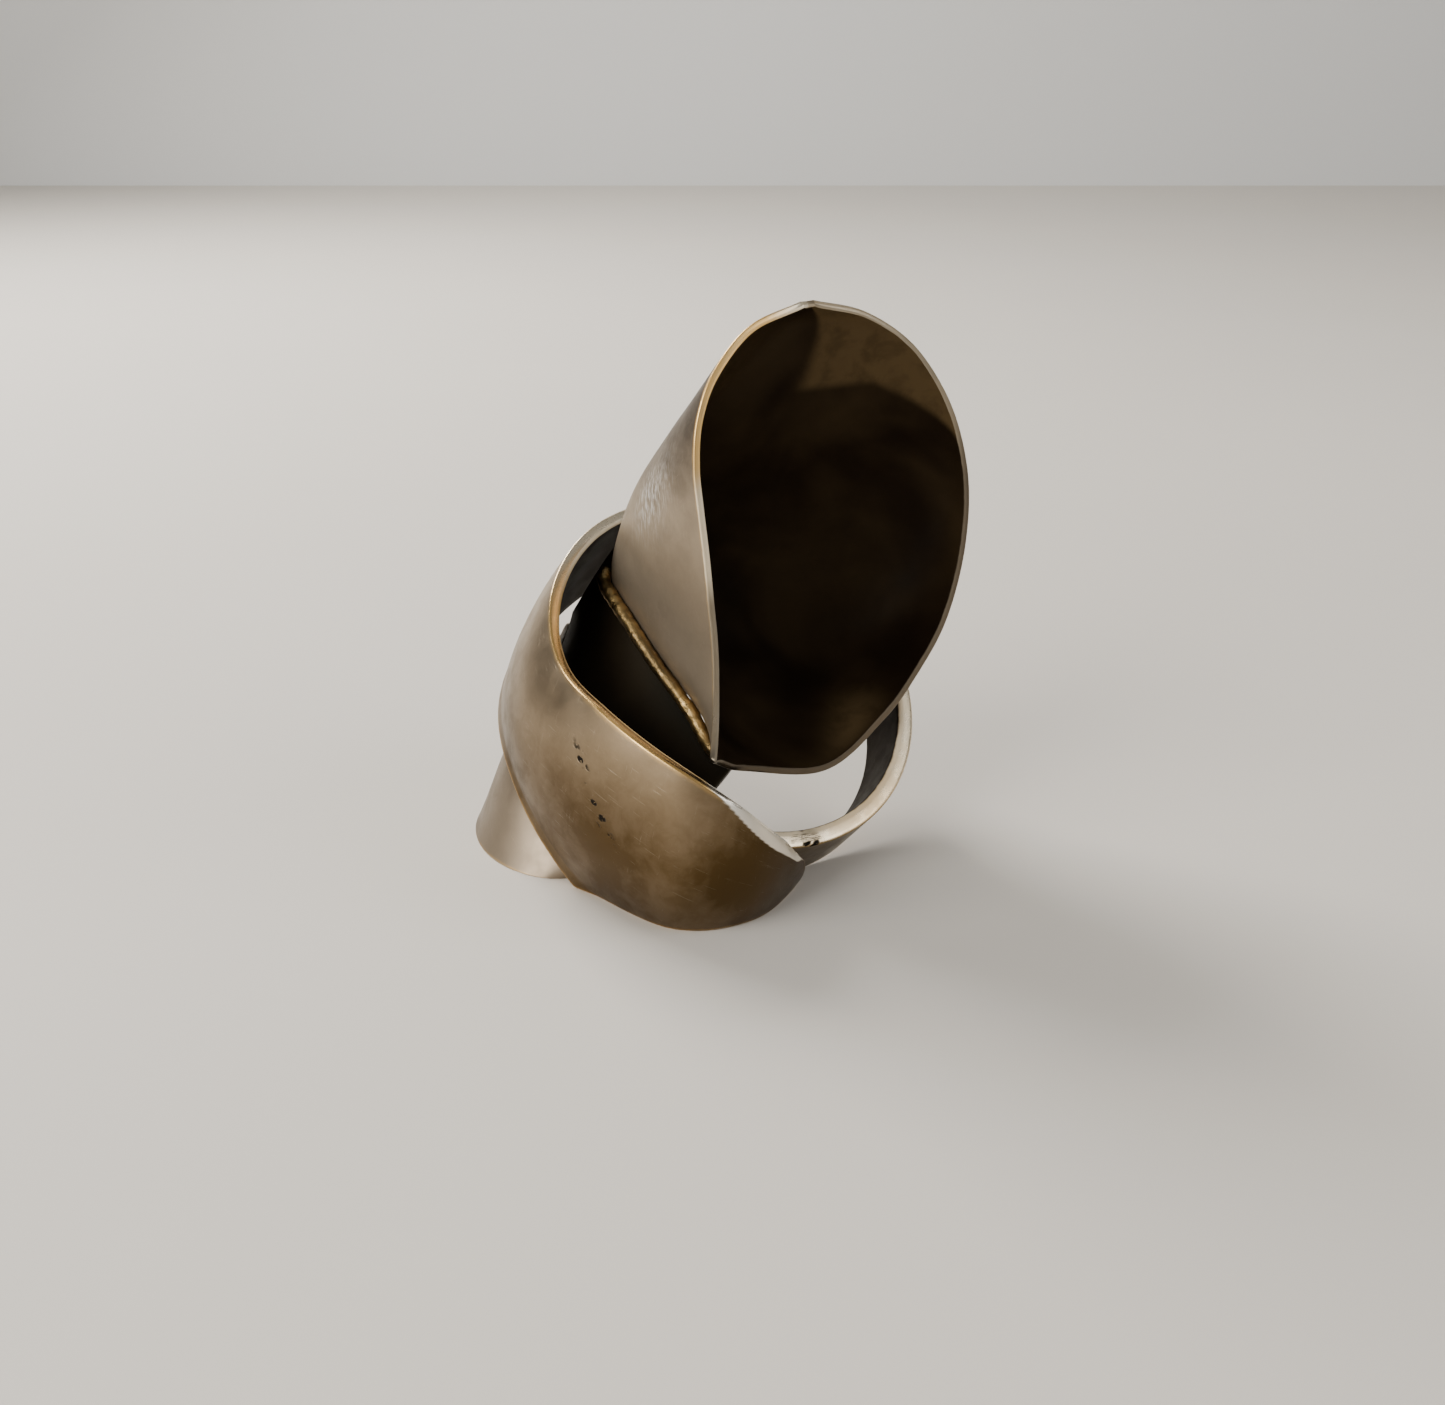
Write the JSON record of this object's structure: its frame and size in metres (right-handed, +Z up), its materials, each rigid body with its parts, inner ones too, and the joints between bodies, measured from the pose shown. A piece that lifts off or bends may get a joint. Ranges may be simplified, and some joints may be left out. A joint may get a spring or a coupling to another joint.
{
  "type": "interlocked ring disentanglement puzzle",
  "caption": "Interlocked sheet-metal puzzle: a wide leaf-fronted ring with a loose deep scoop link nested through its loop.",
  "frame": {"origin": "middle of the bounding box on the table plane", "axes": "+Z up from the table, +Y away from the viewer, +X to the viewer's right"},
  "size_m": [0.0332, 0.0272, 0.0359],
  "materials": {
    "ring_leaf": "worn silver plate over brass, satin",
    "ring_band": "worn silver plate, satin, bright upper edge",
    "ring_solder": "dull pitted solder",
    "scoop_bowl": "worn silver plate, tarnished dark inside",
    "scoop_waist": "dark tarnish",
    "scoop_foot": "worn silver plate, satin",
    "scoop_solder": "dull dark solder"
  },
  "bodies": {
    "ring": {"ring_leaf": "ring_leaf", "ring_band": "ring_band", "ring_tip_solder": "ring_solder", "ring_root_solder": "ring_solder"},
    "scoop": {"scoop_bowl": "scoop_bowl", "scoop_waist": "scoop_waist", "scoop_foot": "scoop_foot", "scoop_heel_solder": "scoop_solder", "scoop_foot_solder": "scoop_solder"}
  },
  "joints": [
    {"name": "scoop_swivel", "type": "hinge", "parent": "ring", "child": "scoop", "pos_m": [0.00196, 0.00072, 0.0119], "axis": [-0.3997, 0.5604, -0.7254], "range_deg": [0, 15]}
  ]
}
